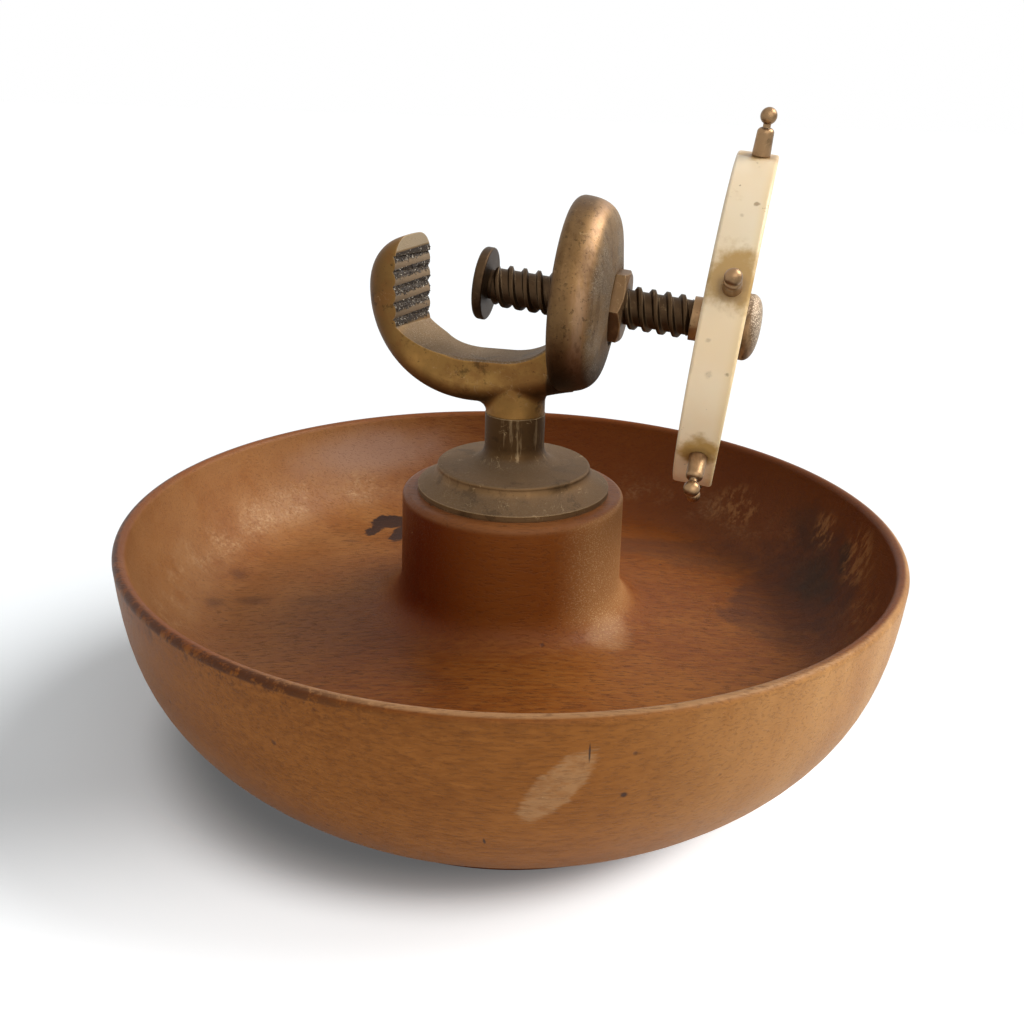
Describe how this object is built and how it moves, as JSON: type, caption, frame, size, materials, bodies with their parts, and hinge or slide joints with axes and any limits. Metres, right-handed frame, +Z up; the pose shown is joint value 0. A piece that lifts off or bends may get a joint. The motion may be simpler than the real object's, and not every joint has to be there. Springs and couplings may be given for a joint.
{
  "type": "screw nut cracker",
  "caption": "Nut cracker in a wooden bowl: a wheel turns a coarse screw that drives a round foot against the serrated jaw of a brass C-frame on a central post",
  "frame": {"origin": "centre of the bowl's foot, on the surface it stands on, below the middle of the post", "axes": "+Z up along the bowl's and the post's axis; +X from the jaw towards the wheel, in the plane of the C-frame; +Y completes the right-handed frame and points away from the side on which the jaw is turned outwards"},
  "size_m": [0.25, 0.25, 0.2065],
  "materials": {
    "bowl_wood": "worn oiled wood with fine grain and dark stains",
    "frame_brass": "aged cast brass, satin, brown in the hollows",
    "pedestal_brass": "dull aged brass with fine scratches",
    "screw_brass": "dark aged brass",
    "pin_brass": "aged turned brass, satin",
    "rim_cream": "smooth cream, yellowed, with brown stains round the pins",
    "steel": "plain dull steel"
  },
  "bodies": {
    "stand": {"bowl": "bowl_wood", "pedestal": "pedestal_brass", "jaw_frame": "frame_brass", "threaded_bush": "screw_brass", "tie_rod": "steel", "tie_rod_washer": "steel", "tie_rod_nut": "steel"},
    "presser": {"presser_foot": "screw_brass"},
    "screw": {"spindle": "screw_brass", "presser_screw": "screw_brass", "wheel_hub": "pin_brass", "wheel_rim": "rim_cream", "dome_nut": "pin_brass", "spoke_1": "pin_brass", "spoke_2": "pin_brass", "spoke_3": "pin_brass", "spoke_4": "pin_brass", "spoke_5": "pin_brass", "spoke_6": "pin_brass"}
  },
  "joints": [
    {"name": "presser_slide", "type": "slide", "parent": "stand", "child": "presser", "axis": [0.9954, 0, -0.0958], "range_m": [-0.0177, 0.0221]},
    {"name": "wheel_turn", "type": "hinge", "parent": "presser", "child": "screw", "pos_m": [0, 0, 0.1527], "axis": [0.9954, 0, -0.0958], "range_deg": [-720, 900]}
  ],
  "couplings": [
    {"joint": "presser_slide", "follows": "wheel_turn", "m_per_rad": 0.0014006}
  ]
}
